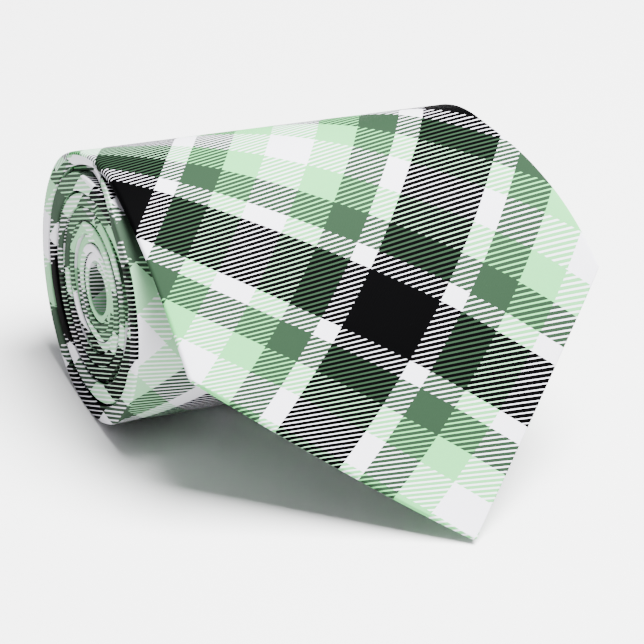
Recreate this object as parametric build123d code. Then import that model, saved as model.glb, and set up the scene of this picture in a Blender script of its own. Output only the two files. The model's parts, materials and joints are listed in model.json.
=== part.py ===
from build123d import *
import math
import os

# A printed necktie, rolled up from its narrow end and lying on a table.
# Millimetres. The roll's axis runs along X, the wide blade's loose end falls towards -Y and its
# point touches the table, and Z is up. The origin is under the middle of the object's box.

# --- the flat tie ---
BLADE_WIDTH = 102.0         # widest place, at the shoulders of the pointed end
NECK_WIDTH = 36.0           # narrowest place
TAIL_WIDTH = 48.0           # narrow end
POINT_HEIGHT = BLADE_WIDTH / 2          # the point is a right angle
CROWN_WIDTH = 100.0         # width where the blade passes over the top of the roll
CLOTH = 0.45                # printed polyester
TIE_THICKNESS = 2.2         # cloth, interlining and folded-back cloth
POCKET = (CLOTH, TIE_THICKNESS - CLOTH)              # depths of the space inside the shell
INTERLINING = (0.5, 1.4)                             # depths of the interlining's two faces
TIPPING = (1.45, 1.7)                                # depths of the lining of the ends
FOLD = 0.6                  # cloth and slack at each folded edge
CLEARANCE = 0.15            # from the fold to the interlining
SEAM_HALF = 0.4             # half the slit where the two back flaps meet
THREAD = (1.8, 2.15)        # depths of the slip stitch
THREAD_HALF = 0.25
TACK = (TIE_THICKNESS, 2.4)             # depths of a bar tack on the back
TACK_HALF = 3.0
LOOP = (2.28, 2.63)         # depths of the keeper loop, flat between two turns
LOOP_HALF = 30.0
LOOP_WIDTH = 14.0

# --- the roll: half circles about two centres, so that each turn is one pitch smaller ---
PITCH = 2.7
ROLL_RADIUS = 33.5          # outer face, over the top
STEP = PITCH / 2
HALF_TURNS = 22             # 1 to 21 are rolled, 0 is the quarter from the crown to the back
REST_FLAT = 0.15            # how far the lowest turn is pressed flat by the table
AXIS_Z = ROLL_RADIUS - STEP - REST_FLAT
CROWN_Z = AXIS_Z + ROLL_RADIUS
NECK_JOIN = 5               # half turn at which the neck piece is sewn on
TAIL_JOIN = 10              # half turn at which the tail piece is sewn on
TIP_LINING_FROM = 20        # half turn from which the tail is lined
HINGE_GAP = 0.2             # between the pieces of cloth on the two sides of a bending line

# --- the loose end: a convex bend, then a long shallow concave one down to the table ---
BEND_RADIUS = 55.0
BEND_ANGLE = math.radians(54)
TIP_ANGLE = math.radians(47)
TIP_Z = TIE_THICKNESS * math.cos(TIP_ANGLE) + 0.02
BEND_END = (-BEND_RADIUS * math.sin(BEND_ANGLE), CROWN_Z - BEND_RADIUS * (1 - math.cos(BEND_ANGLE)))
SAG_RADIUS = (BEND_END[1] - TIP_Z) / (math.cos(TIP_ANGLE) - math.cos(BEND_ANGLE))
SAG_CENTRE = (BEND_END[0] - SAG_RADIUS * math.sin(BEND_ANGLE),
              BEND_END[1] + SAG_RADIUS * math.cos(BEND_ANGLE))
BEND_LENGTH = BEND_RADIUS * BEND_ANGLE
END_LENGTH = BEND_LENGTH + SAG_RADIUS * (BEND_ANGLE - TIP_ANGLE)
BLUNT = 0.4                 # the point's tip is this much short of a sharp one
DRIFT = 0.16                # sideways shift of the loose end per millimetre of its length
CROWN_X = 0.0               # middle of the blade at the crown
TACK_FROM_TIP = 98.0        # where the back flaps part

# --- the ends of the roll: the left ends are nearly level, the right ends follow the tie's taper ---
LEFT_EDGE = -51.0
LEFT_PROFILE = [(0, -47.5), (24, -48), (33, LEFT_EDGE), (40, LEFT_EDGE)]     # radius and X
NECK_FROM = 850.0           # distances from the blade's point where the neck begins and ends
NECK_TO = 950.0
LAID_FLAT = 157.0           # length of cloth before the roll proper, from the point to the back
PROFILE_RADII = [40, 33, 30.5, 28, 25.5, 22.7, 20, 14, 4, 0]


def straight_lines(points):
    """Straight-line interpolation through pairs."""
    points = sorted(points)

    def at(place):
        for (a0, b0), (a1, b1) in zip(points, points[1:]):
            if place <= a1:
                return b0 + (b1 - b0) * max(0.0, place - a0) / (a1 - a0)
        return points[-1][1]
    return at


left_end = straight_lines(LEFT_PROFILE)
tie_width = straight_lines([(POINT_HEIGHT, BLADE_WIDTH), (NECK_FROM, NECK_WIDTH), (NECK_TO, NECK_WIDTH),
                            (1400.0, TAIL_WIDTH)])


def rolled_width(radius):
    """Width of the tie where the spiral has this radius."""
    return tie_width(LAID_FLAT + math.pi * (ROLL_RADIUS ** 2 - min(radius, ROLL_RADIUS) ** 2) / PITCH)


RIGHT_PROFILE = [(r, left_end(r) + rolled_width(r)) for r in PROFILE_RADII]


def solid_of(edges, width, start):
    """Extrude a closed outline of the YZ plane along X."""
    outline = Face(Wire(edges)).moved(Location((start, 0, 0)))
    return extrude(outline, amount=width, dir=(1, 0, 0))


def ring_point(half_turn, depth, angle):
    """A point of the spiral's half turn, angle measured from the crown towards the back."""
    radius = ROLL_RADIUS - STEP * half_turn - depth
    centre = STEP if half_turn % 2 else 0.0
    return Vector(0, centre + radius * math.sin(angle), AXIS_Z + radius * math.cos(angle))


def ring_arc(half_turn, depth, first, last):
    return Edge.make_three_point_arc(ring_point(half_turn, depth, first),
                                     ring_point(half_turn, depth, (first + last) / 2),
                                     ring_point(half_turn, depth, last))


def turn_span(half_turn):
    """Angles that one rolled half turn covers, from the crown by the back."""
    return (math.pi / 2, 3 * math.pi / 2) if half_turn % 2 else (-math.pi / 2, math.pi / 2)


def rolled_band(first, last, depths, width=110.0, start=-55.0, span=None):
    """Half turns first to last of the spiral, between two depths under its outer face."""
    turns = range(first, last + 1)
    outer = [ring_arc(k, depths[0], *(span or turn_span(k))) for k in turns]
    inner = [ring_arc(k, depths[1], *(span or turn_span(k))) for k in turns]
    ends = [Edge.make_line(outer[0] @ 0, inner[0] @ 0), Edge.make_line(outer[-1] @ 1, inner[-1] @ 1)]
    return solid_of(outer + inner + ends, width, start)


def revolved(profile):
    """A solid of revolution about the roll's axis, from radius and X pairs."""
    points = [Vector(x, STEP / 2, AXIS_Z + radius) for radius, x in profile]
    outline = Face(Wire.make_polygon(points, close=True))
    return revolve(outline, axis=Axis((0, STEP / 2, AXIS_Z), (1, 0, 0)), revolution_arc=360)


def roll_body(inset):
    """The roll's outline, its two end profiles drawn in by an inset."""
    left = [(r, x + inset) for r, x in LEFT_PROFILE]
    right = [(r, x - inset) for r, x in RIGHT_PROFILE]
    return revolved(left + right)


def middle_strip(half_width):
    """The middle of the tie's width at each radius, where the back flaps meet."""
    middles = [(r, left_end(r) + rolled_width(r) / 2) for r in PROFILE_RADII]
    near = [(r, x - half_width) for r, x in middles]
    far = [(r, x + half_width) for r, x in reversed(middles)]
    return revolved(near + far)


def end_point(length, depth=0.0):
    """A point of the loose end, by its distance from the crown along the cloth."""
    if length <= BEND_LENGTH:
        angle = length / BEND_RADIUS
        radius = BEND_RADIUS - depth
        return Vector(0, -radius * math.sin(angle), CROWN_Z - BEND_RADIUS + radius * math.cos(angle))
    angle = BEND_ANGLE - (length - BEND_LENGTH) / SAG_RADIUS
    radius = SAG_RADIUS + depth
    return Vector(0, SAG_CENTRE[0] + radius * math.sin(angle), SAG_CENTRE[1] - radius * math.cos(angle))


def end_curve(depth, first, last):
    """The two arcs of the loose end at one depth, between two distances from the crown."""
    pieces = [(first, min(last, BEND_LENGTH)), (max(first, BEND_LENGTH), last)]
    return [Edge.make_three_point_arc(end_point(a, depth), end_point((a + b) / 2, depth), end_point(b, depth))
            for a, b in pieces if b - a > 0.01]


def end_band(depths, first=HINGE_GAP, last=END_LENGTH):
    outer = end_curve(depths[0], first, last)
    inner = end_curve(depths[1], first, last)
    ends = [Edge.make_line(outer[0] @ 0, inner[0] @ 0), Edge.make_line(outer[-1] @ 1, inner[-1] @ 1)]
    return solid_of(outer + inner + ends, 150.0, -70.0)


def end_middle(length):
    """X of the middle of the loose end."""
    return CROWN_X + DRIFT * length


def plan_prism(points):
    """A vertical prism over a plan outline."""
    outline = Face(Wire.make_polygon([Vector(x, y, -5) for x, y in points], close=True))
    return extrude(outline, amount=CROWN_Z + 10, dir=(0, 0, 1))


def end_outline(inset):
    """Plan of the loose end: two long edges and the right-angled point."""
    shoulder = END_LENGTH - POINT_HEIGHT
    level = end_point(shoulder).Y
    half_crown = CROWN_WIDTH / 2 - inset
    half_blade = BLADE_WIDTH / 2 - inset
    reach = inset * math.sqrt(2)
    return plan_prism([(CROWN_X - half_crown, 2),
                       (end_middle(shoulder) - half_blade, level),
                       (end_middle(END_LENGTH), end_point(END_LENGTH - reach).Y - BLUNT),
                       (end_middle(shoulder) + half_blade, level),
                       (CROWN_X + half_crown, 2)])


def end_opening():
    """Plan of the gap between the parted back flaps, with a hem left along the point's edges."""
    apex = END_LENGTH - TACK_FROM_TIP
    sides = END_LENGTH - 40.0
    foot = END_LENGTH - 16.0
    return plan_prism([(end_middle(apex), end_point(apex).Y),
                       (end_middle(sides) - 25.0, end_point(sides).Y),
                       (end_middle(foot), end_point(foot).Y),
                       (end_middle(sides) + 25.0, end_point(sides).Y)])


def slit(first, last, width):
    """Plan of the narrow slit between the flaps from the crown to where they part."""
    return plan_prism([(end_middle(first) - width, 3), (end_middle(last) - width, end_point(last).Y),
                       (end_middle(last) + width, end_point(last).Y), (end_middle(first) + width, 3)])


def quarter(depths, width, middle, gap=HINGE_GAP):
    """The quarter turn from the crown to the back, between two depths."""
    back = math.pi / 2 - gap / ROLL_RADIUS
    return rolled_band(0, 0, depths, width, middle - width / 2, (0.0, back))


def rolled_shell(first, last):
    """Cloth folded round the interlining and back to the middle, for a run of half turns."""
    shell = rolled_band(first, last, (0, TIE_THICKNESS)) & roll_body(0)
    shell = shell - (rolled_band(first, last, POCKET) & roll_body(FOLD))
    return shell - (rolled_band(first, last, (POCKET[1] - 0.1, TIE_THICKNESS + 0.1))
                    & middle_strip(SEAM_HALF))


def blade_shell_roll():
    below_table = Box(200, 200, 20, align=(Align.CENTER, Align.CENTER, Align.MAX))
    return rolled_shell(1, NECK_JOIN) - below_table


def rolled_layer(first, last, depths, inset):
    return rolled_band(first, last, depths) & roll_body(inset)


def wrap_shell():
    """The quarter turn of cloth between the two bending lines."""
    shell = quarter((0, TIE_THICKNESS), CROWN_WIDTH, CROWN_X)
    shell = shell - quarter(POCKET, CROWN_WIDTH - 2 * FOLD, CROWN_X)
    return shell - quarter((POCKET[1] - 0.1, TIE_THICKNESS + 0.1), 2 * SEAM_HALF, CROWN_X)


def end_shell():
    """The loose end's cloth: face, folded edges, hemmed point and two flaps that part on the back."""
    shell = end_band((0, TIE_THICKNESS)) & end_outline(0)
    shell = shell - (end_band(POCKET) & end_outline(FOLD))
    behind = end_band((POCKET[1] - 0.1, TIE_THICKNESS + 0.1))
    shell = shell - (behind & end_opening())
    return shell - (behind & slit(0, END_LENGTH - TACK_FROM_TIP + 1.0, SEAM_HALF))


def keeper_loop():
    """A strip of the same cloth across the back, flat between two turns at the bottom of the roll."""
    half_angle = LOOP_WIDTH / 2 / ROLL_RADIUS
    band = rolled_band(1, 1, LOOP, 2 * LOOP_HALF, -LOOP_HALF - 5.0,
                       (math.pi - half_angle, math.pi + half_angle))
    return band


def tack(half_turn, angle, middle):
    """A bar tack: a short bar of thread across the slit."""
    half_angle = 1.0 / (ROLL_RADIUS - STEP * half_turn)
    return rolled_band(half_turn, half_turn, TACK, 2 * TACK_HALF, middle - TACK_HALF,
                       (angle - half_angle, angle + half_angle))


inner_fold = FOLD + CLEARANCE
nodes = {
    "blade_shell_roll": blade_shell_roll(),
    "neck_shell": rolled_shell(NECK_JOIN + 1, TAIL_JOIN),
    "tail_shell": rolled_shell(TAIL_JOIN + 1, HALF_TURNS - 1),
    "blade_interlining": rolled_layer(1, NECK_JOIN, INTERLINING, inner_fold),
    "neck_interlining": rolled_layer(NECK_JOIN + 1, TAIL_JOIN, INTERLINING, inner_fold),
    "tail_interlining": rolled_layer(TAIL_JOIN + 1, HALF_TURNS - 1, INTERLINING, inner_fold),
    "tail_tipping": rolled_layer(TIP_LINING_FROM, HALF_TURNS - 1, TIPPING, inner_fold),
    "slip_stitch_roll": rolled_band(1, TIP_LINING_FROM - 1, THREAD) & middle_strip(THREAD_HALF),
    "keeper_loop": keeper_loop(),
    "bar_tack_tail": tack(TIP_LINING_FROM - 1, math.pi, -24.0),
    "wrap_shell": wrap_shell(),
    "wrap_interlining": quarter(INTERLINING, CROWN_WIDTH - 2 * inner_fold, CROWN_X),
    "slip_stitch_wrap": quarter(THREAD, 2 * THREAD_HALF, CROWN_X),
    "bar_tack_blade": tack(0, 0.12, CROWN_X),
    "end_shell": end_shell(),
    "end_interlining": end_band(INTERLINING) & end_outline(inner_fold),
    "end_tipping": end_band(TIPPING, END_LENGTH - 80.0) & end_outline(inner_fold),
}

box = Compound(list(nodes.values())).bounding_box()
under_middle = Location((-box.center().X, -box.center().Y, -box.min.Z))
os.makedirs("parts", exist_ok=True)
for name, shape in nodes.items():
    export_step(shape.moved(under_middle), f"parts/{name}.step")
print("box", box.size, "moved by", under_middle.position)
print("hinges, before the move: crown", (0, CROWN_Z), "back", (ROLL_RADIUS, AXIS_Z))
print("length of the tie", round(END_LENGTH + ROLL_RADIUS * math.pi / 2
      + sum(math.pi * (ROLL_RADIUS - STEP * k) for k in range(1, HALF_TURNS))))
print("loose end", round(END_LENGTH, 1), "tip", end_point(END_LENGTH), "sag radius", round(SAG_RADIUS))
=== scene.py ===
import json
import math

import bpy
import numpy as np
from mathutils import Matrix, Vector


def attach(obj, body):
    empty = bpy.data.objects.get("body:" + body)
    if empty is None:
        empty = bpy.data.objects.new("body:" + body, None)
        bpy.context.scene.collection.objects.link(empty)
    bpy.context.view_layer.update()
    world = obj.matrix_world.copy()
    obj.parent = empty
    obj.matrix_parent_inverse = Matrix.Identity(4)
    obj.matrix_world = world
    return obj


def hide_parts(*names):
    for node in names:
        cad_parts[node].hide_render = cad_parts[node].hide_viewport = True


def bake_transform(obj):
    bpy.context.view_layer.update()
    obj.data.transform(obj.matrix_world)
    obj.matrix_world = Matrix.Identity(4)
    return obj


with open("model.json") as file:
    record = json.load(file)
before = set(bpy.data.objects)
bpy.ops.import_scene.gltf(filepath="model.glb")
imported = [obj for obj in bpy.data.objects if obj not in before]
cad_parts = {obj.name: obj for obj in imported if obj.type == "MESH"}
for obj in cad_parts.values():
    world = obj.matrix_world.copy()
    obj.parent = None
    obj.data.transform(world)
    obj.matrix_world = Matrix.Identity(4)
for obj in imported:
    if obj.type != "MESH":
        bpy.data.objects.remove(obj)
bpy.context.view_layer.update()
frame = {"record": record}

# A rolled plaid necktie. Lengths are in millimetres until a mesh is made. "along" is the distance from
# the blade's point, "across" the distance from the tie's middle, "depth" the distance under its face.
MM = 0.001
CLEAR = 0.02                    # what lies on something else is this far off it
joints = {j["name"]: j for j in frame["record"]["behaviour"]["joints"]}
crown = [v / MM for v in joints["end_lift"]["pos_m"]]
back = [v / MM for v in joints["wrap_peel"]["pos_m"]]
X0, Y0, CROWN_Z = crown
AXIS_Z = back[2]
ROLL_RADIUS = CROWN_Z - AXIS_Z
PITCH = 2.7                     # from one turn to the next
STEP = PITCH / 2                # from one half turn to the next
HALF_TURNS = 22
AXIS_Y = Y0 + STEP / 2

# --- the flat tie ---
THICK = 2.2                     # cloth, interlining and flaps
CLOTH = 0.45
BLADE_HALF = 51.0
TACK_AT = 98.0                  # where the back flaps part, from the point
HEM = 14.0
TAIL_POINT = 24.0               # length of the tail's pointed end
TAIL_TACK = 60.0                # where its flaps part, from its point

# --- the loose end ---
END_LENGTH = 105.4              # from the point to the crown
SLOPE_AT = (0, 20, 40, 60, 85, END_LENGTH)      # from the crown
SLOPES = (0, 21, 36, 42.4, 45.4, 45.3)
TIP_Z = THICK * math.cos(math.radians(SLOPES[-1])) + CLEAR
TWIST = (4.45, 0.0342)          # the right side is lifted by this, and more for each mm; the left is lowered
DISH = 3.4                      # both sides curl up by this
DRIFT = (0.123, 0.000158)       # how far it runs to the right, for each mm from the crown and for its square
TURN = 0.067                    # the right side lies this far back, for each mm across
LOOSE_FADE = 20.0               # the loose winding of the roll fades out over this much of the end
SAG = 0.033                     # how much lower the right end of the roll is, as a share

# --- distances from the point at which each stretch begins ---
AT_CROWN = END_LENGTH
AT_BACK = AT_CROWN + ROLL_RADIUS * math.pi / 2
RADII = [ROLL_RADIUS - STEP * k for k in range(HALF_TURNS)]
STARTS = [AT_CROWN, AT_BACK]
for half_turn in range(1, HALF_TURNS):
    STARTS.append(STARTS[-1] + math.pi * RADII[half_turn])
TOTAL = STARTS[-1]
MID_WRAP = (AT_CROWN + AT_BACK) / 2
AT_BOTTOM = AT_BACK + RADII[1] * math.pi / 2
INNER_START = STARTS[3]         # the blade's cloth is a piece of its own from here in
NECK_START = STARTS[6]
TAIL_START = STARTS[11]


def smooth(value):
    """0 to 1 with level ends."""
    value = np.clip(value, 0.0, 1.0)
    return value * value * (3 - 2 * value)


def tabulated_end(step=0.25, reach=24):
    """Y, Z and slope of the strip from the point to the roll's back, in small steps, with soft bends."""
    along = np.arange(0, AT_BACK + step, step)
    run = AT_CROWN - along
    slope = np.where(run < 0, run / ROLL_RADIUS, np.radians(np.interp(run, SLOPE_AT, SLOPES)))
    window = np.hanning(2 * reach + 1)
    window /= window.sum()
    before = np.full(reach, slope[0])
    after = slope[-1] - np.arange(1, reach + 1) * step / ROLL_RADIUS
    soft = np.convolve(np.concatenate([before, slope, after]), window, mode="valid")
    last = -run[-1] / ROLL_RADIUS

    def from_last(parts):
        """Sum of the steps between each station and the last."""
        return np.append(np.cumsum(parts[::-1])[::-1][1:] * step, 0)

    y = Y0 + ROLL_RADIUS * math.sin(last) - from_last(np.cos(soft))
    z = AXIS_Z + ROLL_RADIUS * math.cos(last) - from_last(np.sin(soft))
    z += (TIP_Z - z[0]) * smooth(run / AT_CROWN)
    return along, y, z, soft


TABLE = tabulated_end()


def strip_line(along):
    """Y, Z of the outer face and the outward normal, for distances from the point."""
    along = np.asarray(along, float)
    t, ty, tz, slope = TABLE
    y, z = np.interp(along, t, ty), np.interp(along, t, tz)
    angle = -np.interp(along, t, slope)
    for k in range(1, HALF_TURNS):
        on = along > STARTS[k]
        turned = math.pi / 2 + math.pi * (k - 1) + (along - STARTS[k]) / RADII[k]
        middle = Y0 + (STEP if k % 2 else 0.0)
        angle = np.where(on, turned, angle)
        y = np.where(on, middle + RADII[k] * np.sin(turned), y)
        z = np.where(on, AXIS_Z + RADII[k] * np.cos(turned), z)
    return y, z, np.sin(angle), np.cos(angle)


# These are tables for np.interp. The first two go by the distance from the point.
WIDTHS = ([0, BLADE_HALF, AT_CROWN, AT_BACK, 260, 850, 950, TOTAL - TAIL_POINT, TOTAL],
          [0, 102, 99.5, 95, 86.5, 36, 36, 48, 1.0])
HALF_OPENINGS = ([0, HEM, 40, TACK_AT, TACK_AT + 3, TOTAL - TAIL_TACK, TOTAL - 34, TOTAL - 9, TOTAL],
                 [0.3, 0.3, 25, 1.0, 0.35, 0.35, 11, 0.3, 0.3])
# The others go by the number of turns from the crown. Every second one of the outer four turns ends
# further in at the left, under the puffed fold of the turn outside it.
LEFT_ENDS = ([0, 0.92, 1.05, 1.7, 2.05, 2.7, 3.05, 3.7, 4.05, 5, 6, 7, 8, 9, 11],
             [-50.2, -50.6, -47.2, -47.2, -50.2, -50.2, -47.0, -47.0,
              -49.8, -49.6, -49.4, -48.5, -48.7, -48.2, -47.6])
SWELL = ([-0.1, 0.0], [-0.7, 0.3])      # how much thicker the folds are than the tie: thinner where loose
PUFF = ([0.0, 0.16, 0.85, 1.0, 1.75, 2.0, 2.7, 3.0],
        [0, 2.3, 2.3, 0, 0, 2.3, 2.3, 0])       # and how much more the left folds are
ROUNDNESS = ([0.0, 0.12], [1.0, 0.45])  # the left folds' shape: 1 is round, less is squarer
BULGE = ([0.0, 0.12], [1.0, 0.3])       # and how far they stand out, as a share of half the thickness
TURN_RADII = ([0, 1, 2, 3, 4, 5, 6, 7, 8, 9, 10, 11, 12.4],
              [33.5, 31.0, 28.6, 26.2, 23.8, 20.4, 17.0, 13.9, 11.5, 9.3, 7.2, 5.2, 0])
# From the distances in the first list to the numbers of turns in the second.
TURN_STARTS = [0] + STARTS + [TOTAL + 9]
TURN_COUNTS = [-0.5, 0] + [0.25 + 0.5 * k for k in range(HALF_TURNS + 1)]

CROWN_TUCK = (1.5, 14.0)        # the left edge is drawn in this far, over this length, at the crown
WANDER = ((0.2, 29.0, 0.0), (0.15, 47.0, 1.0))  # two waves in the turns' ends: height, length and phase
WANDER_IN = 120.0               # they come in over this length


def width(along):
    return np.interp(along, *WIDTHS)


def turns(along):
    """Turns of the roll from the crown."""
    return np.interp(along, TURN_STARTS, TURN_COUNTS)


def middle_x(along):
    """X of the middle of the tie: level left edges in the roll, a drift to the right in the loose end."""
    along = np.asarray(along, float)
    near = np.minimum(along, TOTAL - TAIL_POINT)
    wander = sum(far * np.sin(along / length + phase) for far, length, phase in WANDER)
    wander *= smooth((along - AT_BACK) / WANDER_IN)
    in_roll = np.interp(turns(near), *LEFT_ENDS) + width(near) / 2 + wander
    run = np.maximum(AT_CROWN - along, 0)
    off_roll = np.interp(0, *LEFT_ENDS) + width(AT_CROWN) / 2 + DRIFT[0] * run + DRIFT[1] * run ** 2
    return np.where(along < AT_CROWN, off_roll, in_roll)


def place(along, across, depth):
    """Points of the tie, in metres in the frame."""
    along, across, depth = np.broadcast_arrays(*(np.asarray(a, float) for a in (along, across, depth)))
    y, z, ny, nz = strip_line(along)
    run = np.maximum(AT_CROWN - along, 0)
    ease = smooth(run / BLADE_HALF)     # the twist, the dish and the turn come in over this length
    side = across / BLADE_HALF
    lift = ease * ((TWIST[0] + TWIST[1] * run) * side + DISH * side ** 2)
    slide = TURN * across * ease
    x = middle_x(along) + across
    y = y - ny * (depth - lift) + nz * slide
    z = z - nz * (depth - lift) - ny * slide
    ry, rz = y - AXIS_Y, z - AXIS_Z
    radius = np.hypot(ry, rz)
    even = (ROLL_RADIUS - radius) / PITCH
    loose = np.where(even > 0, np.interp(even, *TURN_RADII), radius) / np.maximum(radius, 1e-6)
    loose = np.where(along > AT_CROWN, loose, 1 + (loose - 1) * smooth(1 - run / LOOSE_FADE))
    y, z = AXIS_Y + ry * loose, AXIS_Z + rz * loose
    lower = 1 - SAG * (x + BLADE_HALF) / (2 * BLADE_HALF)
    return np.stack([X0 + x, Y0 + (y - Y0) * lower, np.maximum(z * lower, CLEAR)], -1) * MM


SKEW_HALF = 50                  # the skew's formula goes from -1 to 1 over this much each side of the middle
SKEW_MIDDLE = 60                # and along the tie over this much each side of this distance from the point
SKEWED = 118                    # past this distance the print runs straight on
STRAIGHT_SCALE = 0.95           # with its bands this much of the size that BANDS gives


def printed_at(across, along):
    """Where a point of the cloth lies on the printed plaid, which runs a little askew to the tie.

    The coefficients are a least-squares fit to the plaid seen in the photograph.
    """
    u = np.clip(across, -BLADE_HALF, BLADE_HALF) / SKEW_HALF
    v = (np.clip(along, 0, SKEWED) - SKEW_MIDDLE) / SKEW_MIDDLE
    a = (-0.25 + 1.94 * v + 2.55 * v ** 2 + u * (49.5 - 1.8 * v - 3.7 * v ** 2) - u ** 2 * (0.4 + 1.5 * v)
         + 1.7 * u ** 3)
    b = (-5.6 + 66.2 * v - 3.8 * v ** 2 - 4.7 * v ** 3 - u * (1.1 + 14.8 * v + 0.9 * v ** 2)
         + u ** 2 * (0.5 + 1.6 * v) + 1.1 * u ** 3)
    return a + across - u * SKEW_HALF, b + np.maximum(along - SKEWED, 0) / STRAIGHT_SCALE


def opening(along):
    """Half the distance between the two back flaps."""
    return np.interp(along, *HALF_OPENINGS)


SHARP = math.radians(50)        # edges sharper than this are shaded sharp


def new_piece(name, points, faces, material, cloth_map=None, end_map=None):
    """A piece with its place on the cloth as UV; quads all on the roll's end take theirs from end_map, and
    the plaid with painted shade.
    """
    mesh = bpy.data.meshes.new(name)
    mesh.from_pydata(np.asarray(points).reshape(-1, 3).tolist(), [], faces)
    mesh.materials.append(material)
    if cloth_map is not None:
        layer = mesh.uv_layers.new(name="cloth")
        index = np.zeros(len(mesh.loops), np.int32)
        mesh.loops.foreach_get("vertex_index", index)
        spots = np.asarray(cloth_map, np.float32).reshape(-1, 2)[index]
        if end_map is not None:
            ends = np.asarray(end_map, np.float32).reshape(-1, 2)[index]
            on_end = np.isfinite(ends[:, 0]).reshape(-1, 4).all(1).repeat(4)
            spots[on_end] = ends[on_end]
            # the end's quads get the plaid with painted shade
            mesh.materials.append(shaded_plaid)
            mesh.polygons.foreach_set("material_index", on_end[::4].astype(np.int32))
        layer.data.foreach_set("uv", spots.ravel())
    mesh.shade_smooth()
    mesh.set_sharp_from_angle(angle=SHARP)
    mesh.validate()
    piece = bpy.data.objects.new(name, mesh)
    bpy.context.scene.collection.objects.link(piece)
    return piece


def tube_faces(stations, loop):
    """Quads of a closed section swept through stations, with ends closed by pairing the section's halves."""
    faces = []
    for i in range(stations - 1):
        row = i * loop
        for j in range(loop):
            k = (j + 1) % loop
            faces.append((row + j, row + loop + j, row + loop + k, row + k))
    half = loop // 2
    for row, flip in ((0, False), ((stations - 1) * loop, True)):
        for j in range(half - 1):
            quad = (row + j, row + j + 1, row + loop - 2 - j, row + loop - 1 - j)
            faces.append(quad[::-1] if flip else quad)
    return faces


TURN_PRINT = (-42.6, 262.8, 0.148)      # a white square's middle on the roll, and the print's turn there
WHITE_SQUARE = -63.3            # along the print, the middle of a wide white square
# The print on the roll's left end: its place at the roll's middle, for each of the outer four turns, its
# shift for each turn further in, and how it runs across and along the cloth for each mm of Y and of Z.
END_PRINTS = [(8.6, -109.6), (4.1, -144.0), (4.1, -144.0), (-30.3, -108.0)]
END_SHIFT = (4, 0.6)
END_ACROSS = (-0.5, 0.2)
END_ALONG = (0.54, 0.97)
END_FROM = 0.02                 # turns from the crown at which the end of the roll begins
END_WHOLE = 0.4                 # and at which the whole fold is part of it
END_DEPTH = 0.8                 # before that, the fold's face stays part of the front to this depth

FRONT_POINTS = 41
FOLD_POINTS = 9
FLAP_POINTS = 10
FOLD_MOST = 0.9                 # a fold is at most this share of half the tie's width
FLAP_LEAST = 0.2                # width left for a flap
GAP_LEAST = 0.05                # half the gap left between the flaps
FLAP_SPACING = 1.6              # power by which a flap's points are closer at the fold
SWELL_FADE = 1.2                # a fold's swelling fades out over this and its own size
POINT_ROWS_TO = 6               # up to here from the blade's point, the rows of points are closer together
POINT_ROWS = 14


def shell_section(along):
    """Across and depth of the folded cloth's outer and inner faces, and its distance across the cloth."""
    half = width(along) / 2
    arc = np.linspace(0, math.pi, FOLD_POINTS)[1:-1]
    swell, puff, left_roundness, left_bulge = (float(np.interp(turns(along), *table))
                                               for table in (SWELL, PUFF, ROUNDNESS, BULGE))
    tucked = CROWN_TUCK[0] * math.exp(-((along - AT_CROWN) / CROWN_TUCK[1]) ** 2)

    def side(half, inset, swell, roundness=1.0, bulge=1.0):
        """The front's edge, and the fold and the flap as across and depth, as at the right side."""
        edge = min((THICK + swell) / 2, half * FOLD_MOST)
        gap = min(float(opening(along)), max(half - edge - FLAP_LEAST, GAP_LEAST))
        flat = half - edge * bulge
        squared = np.sign(np.cos(arc)) * np.abs(np.cos(arc)) ** roundness
        fold = (flat + (edge * bulge - inset) * np.sin(arc) ** roundness, edge - (edge - inset) * squared)
        flap = flat + (gap - flat) * np.linspace(0, 1, FLAP_POINTS) ** FLAP_SPACING
        depth = THICK + swell * np.exp(-((flat - flap) / (SWELL_FADE + abs(swell))) ** 2) - inset
        return flat, fold, (flap, depth)

    def face(inset):
        """Across and depth from the left flap round to the right one."""
        left_flat, left_fold, left_flap = side(half - tucked, inset, swell + puff,
                                               left_roundness, left_bulge)
        flat, fold, flap = side(half, inset, swell)
        front = np.linspace(-left_flat, flat, FRONT_POINTS)
        across = np.concatenate([-left_flap[0][::-1], -left_fold[0][::-1], front, fold[0], flap[0]])
        level = np.full(FRONT_POINTS, inset)
        return across, np.concatenate([left_flap[1][::-1], left_fold[1][::-1], level, fold[1], flap[1]])

    outer, inner = face(0.0), face(CLOTH * min(1.0, half / 2))
    lengths = np.hypot(np.diff(outer[0]), np.diff(outer[1]))
    cloth = np.concatenate([[0], np.cumsum(lengths)])
    return outer, inner, cloth - cloth[len(cloth) // 2]


def evenly(start, end, step):
    """Distances from start to end, no further apart than the step."""
    return np.linspace(start, end, max(2, int(math.ceil((end - start) / step)) + 1))


def printed_on_turn(across, along):
    """Where a point of the turns past the outer wrap lies on the printed plaid."""
    c, d = across - TURN_PRINT[0], along - TURN_PRINT[1]
    turn = TURN_PRINT[2]
    across_cloth = c * math.cos(turn) - d * math.sin(turn)
    along_cloth = d * math.cos(turn) + c * math.sin(turn) + WHITE_SQUARE
    return across_cloth, along_cloth


def printed_on_end(round_roll, spots, depth):
    """The print on the roll's left end for one section's points, and NaN for those that aren't on it."""
    outer_turn = len(END_PRINTS) - 1
    across_end, along_end = END_PRINTS[min(int(max(round_roll, 0)), outer_turn)]
    later = max(int(round_roll) - outer_turn, 0)
    on_end = np.zeros(len(spots), bool)
    on_end[FLAP_POINTS - 1:FLAP_POINTS + FOLD_POINTS - 1] = round_roll > END_FROM
    if round_roll < END_WHOLE:
        on_end &= depth > END_DEPTH
    y, z = spots[:, 1] - AXIS_Y, spots[:, 2]
    ends = np.stack([across_end + END_SHIFT[0] * later + y * END_ACROSS[0] + z * END_ACROSS[1],
                     along_end + END_SHIFT[1] * later + z * END_ALONG[1] + y * END_ALONG[0]], -1)
    return np.where(on_end[:, None], ends, np.nan)


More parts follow.
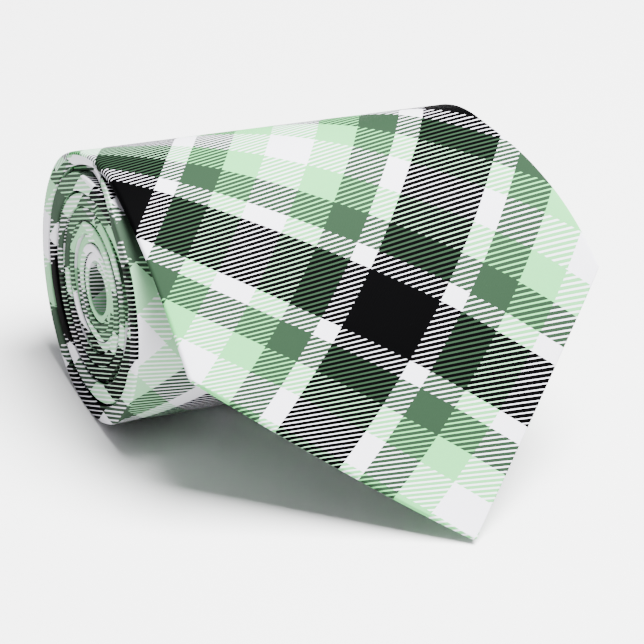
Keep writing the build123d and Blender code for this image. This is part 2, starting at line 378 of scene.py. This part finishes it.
def shell(name, start, end, material, step=1.5):
    """The printed cloth, folded round to the back, between two distances from the point."""
    stations = evenly(start, end, step)
    if start < POINT_ROWS_TO:
        rows = np.linspace(start, POINT_ROWS_TO, POINT_ROWS)
        stations = np.concatenate([rows[:-1], stations[stations >= POINT_ROWS_TO]])
    printed = printed_at if start < AT_BOTTOM else printed_on_turn
    points, cloth_map, end_map, area = [], [], [], 0.0
    for i, along in enumerate(stations):
        outer, inner, cloth = shell_section(along)
        across = np.concatenate([outer[0], inner[0][::-1]])
        depth = np.concatenate([outer[1], inner[1][::-1]])
        points.append(place(along, across, depth))
        cloth_map.append(np.stack(printed(np.concatenate([cloth, cloth[::-1]]), along), -1))
        end_map.append(printed_on_end(turns(along), points[-1] / MM, depth))
        if i:
            area += (cloth[-1] - cloth[0]) * (along - stations[i - 1])
    faces = tube_faces(len(stations), len(cloth_map[0]))
    piece = new_piece(name, points, faces, material, cloth_map, end_map)
    widest = max(np.ptp(shell_section(a)[2]) for a in stations)
    return piece, (widest * MM, (end - start) * MM), area * MM * MM


SLAB_LEAST = 0.4                # half the width a layer comes down to at a point


def slab(name, start, end, depths, inset, material, step=2.0, columns=14):
    """A flat layer inside the tie, between two depths, narrower than the tie by an inset at each side."""
    stations = evenly(start, end, step)
    points, cloth_map, area = [], [], 0.0
    for i, along in enumerate(stations):
        half = max(width(along) / 2 - inset, SLAB_LEAST)
        row = np.linspace(-half, half, columns)
        across = np.concatenate([row, row[::-1]])
        points.append(place(along, across, np.repeat(depths, columns)))
        cloth_map.append(np.stack([across, np.full(2 * columns, along)], -1))
        if i:
            area += 2 * half * (along - stations[i - 1])
    piece = new_piece(name, points, tube_faces(len(stations), 2 * columns), material, cloth_map)
    widest = max(max(width(a) / 2 - inset, SLAB_LEAST) for a in stations) * 2
    return piece, (widest * MM, (end - start) * MM), area * MM * MM


THREAD_SIDES = 8
THREAD_TAPER = (0.55, 1.0, 0.55)        # of its radius, at its start, its middle and its end


def threads(name, runs, radius, material):
    """Short straight lengths of thread, each from one (along, across, depth) to another."""
    points, faces = [], []
    for start, end in runs:
        middle = [(a + b) / 2 for a, b in zip(start, end)]
        path = [place(*p) for p in (start, middle, end)]
        run = Vector(path[2] - path[0]).normalized()
        side = run.orthogonal().normalized()
        other = run.cross(side)
        base = len(points)
        for centre, grow in zip(path, THREAD_TAPER):
            for j in range(THREAD_SIDES):
                turn = 2 * math.pi * j / THREAD_SIDES
                outwards = side * math.cos(turn) + other * math.sin(turn)
                points.append(Vector(centre) + outwards * radius * MM * grow)
        last = base + THREAD_SIDES * (len(path) - 1)
        for row in range(base, last, THREAD_SIDES):
            for j in range(THREAD_SIDES):
                k = (j + 1) % THREAD_SIDES
                faces.append((row + j, row + k, row + THREAD_SIDES + k, row + THREAD_SIDES + j))
        faces.append(tuple(base + j for j in reversed(range(THREAD_SIDES))))
        faces.append(tuple(last + j for j in range(THREAD_SIDES)))
    return new_piece(name, [tuple(p) for p in points], faces, material)


# --- materials ---
def linear(red, green, blue):
    """A colour given from 0 to 255, as Blender's sockets take it."""
    def channel(value):
        value /= 255
        return value / 12.92 if value <= 0.04045 else ((value + 0.055) / 1.055) ** 2.4
    return (channel(red), channel(green), channel(blue), 1.0)


BLACK = (0.0007, 0.0007, 0.0008, 1)
GREEN = (0.0151, 0.0326, 0.0178, 1)
PALE = (0.107, 0.424, 0.142, 1)
WHITE = (0.665, 0.650, 0.71, 1)
SHADED_GREEN = (0.0264, 0.045, 0.0295, 1)        # painted shade: a darker, duller copy of the inks for the roll's end and inner turns
SHADED_PALE = (0.21, 0.425, 0.24, 1)
SHADED_WHITE = (0.61, 0.59, 0.64, 1)
BANDS = [17.4, 5.1, 8.7, 8.45, 10.2, 8.45, 8.7, 5.1]    # black, white, green, pale, white and back again
REPEAT = sum(BANDS)
BLACK_UNDER = 0.01              # an ink's grey value is under this if it's black
DARK_UNDER = 0.1                # under this if it's black or green
LIGHT_OVER = 0.15               # and over this if it's pale or white
HATCH = 1.2                     # one printed line and one gap
DARK_SHARE = 0.61               # of the two, the darker line is this much of the hatch
ON_LIGHT_MORE = 0.07            # a green or black line between light ones is this much more of it
BLACK_MORE = 0.09               # and a black one this much again
PALER = 0.25                    # pale lines on black are this much nearer to white
WEAVE = 0.42                    # one rib of the twill
PICK_SHARE = 0.4                # how high the threads across the ribs stand, against them
DIAGONAL = math.sqrt(0.5)       # of a step across or along the tie, this much goes across a band


class Nodes:
    """Shorthand for a material's node tree."""

    def __init__(self, name):
        self.material = bpy.data.materials.new(name)
        self.material.use_nodes = True
        self.tree = self.material.node_tree
        self.tree.nodes.clear()
        self.shader = self.add("ShaderNodeBsdfPrincipled")
        out = self.add("ShaderNodeOutputMaterial")
        self.link(self.shader.outputs[0], out.inputs["Surface"])

    def add(self, kind, **settings):
        node = self.tree.nodes.new(kind)
        for key, value in settings.items():
            setattr(node, key, value)
        return node

    def link(self, source, target):
        self.tree.links.new(source, target)

    def put(self, value, socket):
        if isinstance(value, bpy.types.NodeSocket):
            self.link(value, socket)
        else:
            socket.default_value = value

    def maths(self, operation, *values):
        node = self.add("ShaderNodeMath", operation=operation)
        for value, socket in zip(values, node.inputs):
            self.put(value, socket)
        return node.outputs[0]

    def mix(self, factor, first, second, blend="MIX"):
        node = self.add("ShaderNodeMix", data_type="RGBA", blend_type=blend)
        for value, name in ((factor, "Factor"), (first, "A"), (second, "B")):
            kind = "VALUE" if name == "Factor" else "RGBA"
            self.put(value, next(s for s in node.inputs if s.name == name and s.type == kind and s.enabled))
        return next(s for s in node.outputs if s.type == "RGBA")

    def cloth_place(self):
        """Millimetres across and along the cloth."""
        split = self.add("ShaderNodeSeparateXYZ")
        self.link(self.add("ShaderNodeUVMap", uv_map="cloth").outputs[0], split.inputs[0])
        return split.outputs[0], split.outputs[1]

    def blend_values(self, factor, first, second):
        node = self.add("ShaderNodeMix", data_type="FLOAT")
        for value, socket in zip((factor, first, second), (node.inputs[0], node.inputs[2], node.inputs[3])):
            self.put(value, socket)
        return node.outputs[0]

    def grey(self, colour):
        node = self.add("ShaderNodeRGBToBW")
        self.link(colour, node.inputs[0])
        return node.outputs[0]

    def noise(self, scale, detail):
        node = self.add("ShaderNodeTexNoise")
        node.inputs["Scale"].default_value = scale
        node.inputs["Detail"].default_value = detail
        return node.outputs[0]

    def spread(self, value, low, high):
        node = self.add("ShaderNodeMapRange")
        self.link(value, node.inputs["Value"])
        node.inputs["To Min"].default_value = low
        node.inputs["To Max"].default_value = high
        return node.outputs[0]

    def bump(self, height, distance, strength):
        node = self.add("ShaderNodeBump")
        node.inputs["Distance"].default_value = distance
        node.inputs["Strength"].default_value = strength
        self.link(height, node.inputs["Height"])
        self.link(node.outputs[0], self.shader.inputs["Normal"])

    def constants(self, **values):
        for name, value in values.items():
            self.shader.inputs[name.replace("_", " ")].default_value = value


def band_colour(nodes, position, white, green, pale):
    """The plaid's colour bands, repeated along one of its two directions."""
    ramp = nodes.add("ShaderNodeValToRGB")
    ramp.color_ramp.interpolation = "CONSTANT"
    stops = ramp.color_ramp.elements
    stops.remove(stops[1])
    edge = 0.0
    for i, (size, colour) in enumerate(zip(BANDS, (BLACK, white, green, pale, white, pale, green, white))):
        stop = stops[0] if i == 0 else stops.new(edge / REPEAT)
        stop.position = edge / REPEAT
        stop.color = colour
        edge += size
    nodes.link(nodes.maths("FRACT", nodes.maths("DIVIDE", position, REPEAT)), ramp.inputs[0])
    return ramp.outputs[0]


def printed_cloth(name, white, green, pale):
    """Plaid on the bias, hatched where two colours cross, printed on a fine twill."""
    nodes = Nodes(name)
    inks = (white, green, pale)
    across, along = nodes.cloth_place()

    def over_bands(sideways):
        """Distance over the bands that run one of the two ways."""
        return nodes.maths("MULTIPLY", nodes.maths("SUBTRACT", sideways, along), DIAGONAL)

    one = band_colour(nodes, over_bands(across), *inks)
    other = band_colour(nodes, over_bands(nodes.maths("MULTIPLY", across, -1.0)), *inks)
    grey, other_grey = nodes.grey(one), nodes.grey(other)
    darkest = nodes.maths("MINIMUM", grey, other_grey)
    has_black = nodes.maths("LESS_THAN", darkest, BLACK_UNDER)
    has_light = nodes.maths("GREATER_THAN", nodes.maths("MAXIMUM", grey, other_grey), LIGHT_OVER)
    dark_on_light = nodes.maths("MULTIPLY", has_light, nodes.maths("LESS_THAN", darkest, DARK_UNDER))
    more = nodes.maths("MULTIPLY_ADD", has_black, BLACK_MORE, ON_LIGHT_MORE)
    dark_share = nodes.maths("ADD", nodes.maths("MULTIPLY", dark_on_light, more), DARK_SHARE)
    light_share = nodes.maths("SUBTRACT", 1.0, dark_share)
    darker = nodes.maths("LESS_THAN", grey, other_grey)
    share = nodes.blend_values(darker, light_share, dark_share)
    line = nodes.maths("LESS_THAN", nodes.maths("FRACT", nodes.maths("DIVIDE", along, HATCH)), share)
    plaid = nodes.mix(line, other, one)
    is_light = nodes.maths("GREATER_THAN", nodes.grey(plaid), LIGHT_OVER)
    pale_on_black = nodes.maths("MULTIPLY", has_black, is_light)
    plaid = nodes.mix(nodes.maths("MULTIPLY", pale_on_black, PALER), plaid, white)

    grain = nodes.spread(nodes.noise(scale=900.0, detail=3.0), low=0.965, high=1.0)
    shade = nodes.add("ShaderNodeCombineColor")
    for socket in shade.inputs:
        nodes.link(grain, socket)
    nodes.link(nodes.mix(1.0, plaid, shade.outputs[0], blend="MULTIPLY"), nodes.shader.inputs["Base Color"])

    ribs = 2 * math.pi / WEAVE
    rib = nodes.maths("SINE", nodes.maths("MULTIPLY", nodes.maths("ADD", across, along), ribs))
    pick = nodes.maths("SINE", nodes.maths("MULTIPLY", nodes.maths("SUBTRACT", across, along), ribs / 2))
    twill = nodes.maths("ADD", rib, nodes.maths("MULTIPLY", pick, PICK_SHARE))
    nodes.bump(twill, distance=0.00002, strength=0.5)
    roughness = nodes.spread(nodes.noise(scale=300.0, detail=2.0), low=0.55, high=0.68)
    nodes.link(roughness, nodes.shader.inputs["Roughness"])
    nodes.constants(Specular_IOR_Level=0.005)
    return nodes.material


def plain_cloth(name, colour, darker, rib, distance, roughness, sheen):
    """A plain weave of one colour, flecked with a darker one."""
    nodes = Nodes(name)
    across, along = nodes.cloth_place()
    ribs = 2 * math.pi / rib
    wave = nodes.maths("MULTIPLY",
                       nodes.maths("SINE", nodes.maths("MULTIPLY", across, ribs)),
                       nodes.maths("SINE", nodes.maths("MULTIPLY", along, ribs)))
    fleck = nodes.noise(scale=700.0, detail=4.0)
    flecked = nodes.mix(nodes.spread(fleck, low=0.0, high=1.0), darker, colour)
    nodes.link(flecked, nodes.shader.inputs["Base Color"])
    nodes.bump(nodes.maths("ADD", wave, fleck), distance=distance, strength=0.6)
    uneven = nodes.spread(fleck, low=roughness - 0.08, high=roughness + 0.05)
    nodes.link(uneven, nodes.shader.inputs["Roughness"])
    nodes.constants(Sheen_Weight=sheen, Specular_IOR_Level=0.08)
    return nodes.material


def thread_material():
    nodes = Nodes("sewing_thread")
    fleck = nodes.noise(scale=2500.0, detail=2.0)
    flecked = nodes.mix(fleck, linear(150, 172, 152), linear(190, 208, 192))
    nodes.link(flecked, nodes.shader.inputs["Base Color"])
    nodes.bump(fleck, distance=0.00005, strength=0.5)
    nodes.constants(Roughness=0.6, Sheen_Weight=0.2)
    return nodes.material


plaid = printed_cloth("plaid_cloth", WHITE, GREEN, PALE)
# The same plaid in the darker, duller inks: painted shade for the roll's end and its inner turns.
shaded_plaid = printed_cloth("plaid_cloth_shaded", SHADED_WHITE, SHADED_GREEN, SHADED_PALE)
wool = plain_cloth("interlining_cloth", linear(226, 222, 210), linear(205, 200, 186),
                   rib=0.9, distance=0.0001, roughness=0.9, sheen=0.3)
satin = plain_cloth("lining_satin", linear(13, 14, 14), linear(8, 9, 9),
                    rib=0.3, distance=0.00002, roughness=0.42, sheen=0.0)
sewing = thread_material()


# --- pieces ---
def cloth_sheet(made):
    """The piece of the folded cloth, from the piece, flat size and area that a builder returns."""
    piece, flat, area = made
    return piece


def layer_sheet(made):
    """The flat layer inside the cloth, from the piece, flat size and area that a builder returns."""
    piece, flat, area = made
    return piece


def over_crown(piece):
    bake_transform(piece)


def over_back(piece):
    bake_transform(piece)


CLOTH_FROM = 0.4                # the cloth begins this far from the blade's point
CLOTH_TO = TOTAL - 0.6          # and ends this close to the tail's
LAYER_FROM = 3.0                # the interlining begins this far from the blade's point
LAYER_TO = TOTAL - 3.0          # and it and the lining end this close to the tail's
INTERLINING = (0.55, 1.4)       # from its upper face to its lower one, under the tie's face
INTERLINING_INSET = 3.5         # its edges lie this far inside the tie's
TIPPING = (1.48, 1.66)          # the lining at the tie's ends, likewise
BLADE_TIPPING_INSET = 4.5
TAIL_TIPPING_INSET = 2.2
BLADE_TIPPING_FROM = 4.0
FINE_STEP = 1.0                 # between a piece's sections, where it bends most
TURN_STEP = 1.2
TIPPING_STEP = 1.5
TIPPING_COLUMNS = 30
TAIL_TIPPING_FROM = STARTS[19]

cloth_end = cloth_sheet(shell("cloth_loose_end", CLOTH_FROM, MID_WRAP, plaid, FINE_STEP))
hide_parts("end_shell")
over_crown(cloth_end)
cloth_wrap = cloth_sheet(shell("cloth_outer_wrap", MID_WRAP, AT_BOTTOM, plaid, FINE_STEP))
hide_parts("wrap_shell")
over_back(cloth_wrap)
# The roll's turns wear the plaid with painted shade.
cloth_turn = cloth_sheet(shell("cloth_outer_turn", AT_BOTTOM, INNER_START, shaded_plaid, TURN_STEP))
cloth_blade = cloth_sheet(shell("cloth_inner_blade", INNER_START, NECK_START, shaded_plaid))
cloth_neck = cloth_sheet(shell("cloth_neck", NECK_START, TAIL_START, shaded_plaid))
cloth_tail = cloth_sheet(shell("cloth_tail", TAIL_START, CLOTH_TO, shaded_plaid))
for piece, node in ((cloth_turn, "blade_shell_roll"), (cloth_blade, "blade_shell_roll"),
                    (cloth_neck, "neck_shell"), (cloth_tail, "tail_shell")):
    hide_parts(node)
    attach(piece, "roll")


def interlining(name, start, end):
    """One stretch of the interlining, lying in a piece of cloth."""
    layer = slab(name, start, end, INTERLINING, INTERLINING_INSET, wool)
    return layer_sheet(layer)


layer_end = interlining("interlining_loose_end", LAYER_FROM, MID_WRAP)
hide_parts("end_interlining")
over_crown(layer_end)
layer_wrap = interlining("interlining_outer_wrap", MID_WRAP, AT_BOTTOM)
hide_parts("wrap_interlining")
over_back(layer_wrap)
for name, start, end, node, inside in (
        ("interlining_blade", AT_BOTTOM, NECK_START, "blade_interlining", cloth_blade),
        ("interlining_neck", NECK_START, TAIL_START, "neck_interlining", cloth_neck),
        ("interlining_tail", TAIL_START, LAYER_TO, "tail_interlining", cloth_tail)):
    layer = interlining(name, start, end)
    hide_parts(node)
    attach(layer, "roll")

tipping_blade = slab("tipping_blade", BLADE_TIPPING_FROM, TACK_AT, TIPPING, BLADE_TIPPING_INSET, satin,
                     TIPPING_STEP, TIPPING_COLUMNS)
tip_lining = layer_sheet(tipping_blade)
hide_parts("end_tipping")
over_crown(tip_lining)
tipping_tail = slab("tipping_tail", TAIL_TIPPING_FROM, LAYER_TO, TIPPING, TAIL_TIPPING_INSET, satin)
tail_lining = layer_sheet(tipping_tail)
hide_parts("tail_tipping")
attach(tail_lining, "roll")

ON_BACK = THICK + CLEAR
SLIP_THREAD = 0.12              # radius
TACK_THREAD = 0.16
LINING_THREAD = 0.11
TACK_BEHIND = 3                 # the blade's bar tack is this far behind the crown
STITCHES_BEHIND = 8             # and its slip stitches begin this far behind it


def slip_stitches(start, end, pitch=7.0, reach=0.9, slant=1.6, margin=2.0):
    """Slanting stitches that draw the two back flaps together."""
    return [((a, -reach, ON_BACK), (a + slant, reach, ON_BACK))
            for a in np.arange(start, end - margin, pitch)]


def bar_tack(at, pitch=0.28, reach=3.0, slant=0.1, rows=7):
    """A dense bar of thread across the meeting of the flaps."""
    return [((at + pitch * i, -reach, ON_BACK), (at + pitch * i + slant, reach, ON_BACK))
            for i in range(rows)]


def sewn(name, runs, radius, node, body=None):
    """A piece made of thread, attached to the body if one is given."""
    piece = threads(name, runs, radius, sewing)
    if node:
        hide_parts(node)
    if body:
        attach(piece, body)
    return piece


wrap_stitches = slip_stitches(AT_CROWN + STITCHES_BEHIND, AT_BOTTOM)
over_back(sewn("thread_slip_stitch_wrap", wrap_stitches, SLIP_THREAD, "slip_stitch_wrap"))
roll_stitches = slip_stitches(AT_BOTTOM, TOTAL - TAIL_TACK - 2)
sewn("thread_slip_stitch_roll", roll_stitches, SLIP_THREAD, "slip_stitch_roll", "roll")
sewn("thread_bar_tack_blade", bar_tack(AT_CROWN + TACK_BEHIND), TACK_THREAD, "bar_tack_blade", "outer_wrap")
sewn("thread_bar_tack_tail", bar_tack(TOTAL - TAIL_TACK), TACK_THREAD, "bar_tack_tail", "roll")


def lining_stitches(start=HEM + 3, end=TACK_AT - 16, pitch=4.0, length=1.2, on_flap=0.9, on_lining=0.5):
    """Small stitches that hold the lining along the edges of the parted flaps."""
    on_satin = TIPPING[1] + 0.1
    runs = []
    for a in np.arange(start, end, pitch):
        for side in (-1, 1):
            edge = side * float(opening(a))
            runs.append(((a, edge + side * on_flap, ON_BACK),
                         (a + length, edge - side * on_lining, on_satin)))
    return runs


over_crown(sewn("thread_lining_stitches", lining_stitches(), LINING_THREAD, None))

KEEPER_LENGTH = 60.0
KEEPER_WIDTH = 13.0
KEEPER_DEPTHS = (THICK + 0.06, THICK + 0.36)    # of its two faces, just off the tie's back
KEEPER_ROWS = 14
KEEPER_POINTS = 25
KEEPER_PRINT = 900.0            # where on the print it's cut from, past its place along the tie


def keeper():
    """A folded strip of the same cloth across the back."""
    across = np.linspace(-KEEPER_LENGTH / 2, KEEPER_LENGTH / 2, KEEPER_POINTS)
    both = np.concatenate([across, across[::-1]])
    depth = np.repeat(KEEPER_DEPTHS, KEEPER_POINTS)
    rows = np.linspace(AT_BOTTOM - KEEPER_WIDTH / 2, AT_BOTTOM + KEEPER_WIDTH / 2, KEEPER_ROWS)
    points = [place(along, both, depth) for along in rows]
    cloth_map = [np.stack([np.full(len(both), along + KEEPER_PRINT), both], -1) for along in rows]
    piece = new_piece("cloth_keeper_loop", points, tube_faces(KEEPER_ROWS, len(both)), plaid, cloth_map)
    length, wide = KEEPER_LENGTH * MM, KEEPER_WIDTH * MM
    return piece, (length, wide), length * wide


loop = cloth_sheet(keeper())
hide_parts("keeper_loop")
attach(loop, "roll")

# --- stage, light and camera ---
FLOOR_HALF = 6.0                # in metres, as are the lights' and the camera's distances
FLOOR_GREY = (0.72, 0.72, 0.72, 1)
SKY_COLOUR = (0.95, 0.96, 1.0, 1)
SKY_STRENGTH = 0.55
floor_mesh = bpy.data.meshes.new("floor")
floor_mesh.from_pydata([(-FLOOR_HALF, -FLOOR_HALF, 0), (FLOOR_HALF, -FLOOR_HALF, 0),
                        (FLOOR_HALF, FLOOR_HALF, 0), (-FLOOR_HALF, FLOOR_HALF, 0)], [], [(0, 1, 2, 3)])
floor = bpy.data.objects.new("floor", floor_mesh)
bpy.context.scene.collection.objects.link(floor)
paper = Nodes("floor_paper")
paper.constants(Base_Color=FLOOR_GREY, Roughness=0.9, Specular_IOR_Level=0.0)
floor_mesh.materials.append(paper.material)

world = bpy.data.worlds.new("studio")
bpy.context.scene.world = world
world.use_nodes = True
sky = world.node_tree.nodes["Background"]
sky.inputs["Color"].default_value = SKY_COLOUR
sky.inputs["Strength"].default_value = SKY_STRENGTH


def area_light(name, position, target, size, power):
    data = bpy.data.lights.new(name, "AREA")
    data.size = size
    data.energy = power
    light = bpy.data.objects.new(name, data)
    light.location = position
    light.rotation_euler = (Vector(target) - Vector(position)).to_track_quat("-Z", "Y").to_euler()
    bpy.context.scene.collection.objects.link(light)


area_light("key", position=(0.3, -0.2, 1.3), target=(0.0, 0.0, 0.03), size=0.85, power=165.0)

AZIMUTH, ELEVATION, LEAN = (math.radians(a) for a in (-25.33, 30.93, 3.93))
DISTANCE = 0.8615
SENSOR = 36.0                   # millimetres
FOCAL_LENGTH = 203.199
AIM_FORWARD = 20.0              # in millimetres again, the camera looks this far in front of the crown
AIM_HEIGHT = 30.0               # at this height
AIM_RIGHT = 0.9006              # and this far to the right
AIM_DOWN = 3.2232               # and below it in the picture
ground = math.cos(ELEVATION)
toward = Vector((math.sin(AZIMUTH) * ground, -math.cos(AZIMUTH) * ground, math.sin(ELEVATION)))
level = (-toward).cross(Vector((0, 0, 1))).normalized()
up = level.cross(-toward)
right = level * math.cos(LEAN) + up * math.sin(LEAN)
top = -level * math.sin(LEAN) + up * math.cos(LEAN)
aim = Vector((X0, Y0 - AIM_FORWARD, AIM_HEIGHT)) * MM + right * AIM_RIGHT * MM - top * AIM_DOWN * MM
lens = bpy.data.cameras.new("camera")
lens.sensor_width = SENSOR
lens.lens = FOCAL_LENGTH
camera = bpy.data.objects.new("camera", lens)
turned = Matrix((right, top, toward)).transposed().to_4x4()
camera.matrix_world = Matrix.Translation(aim + toward * DISTANCE) @ turned
bpy.context.scene.collection.objects.link(camera)
bpy.context.scene.camera = camera
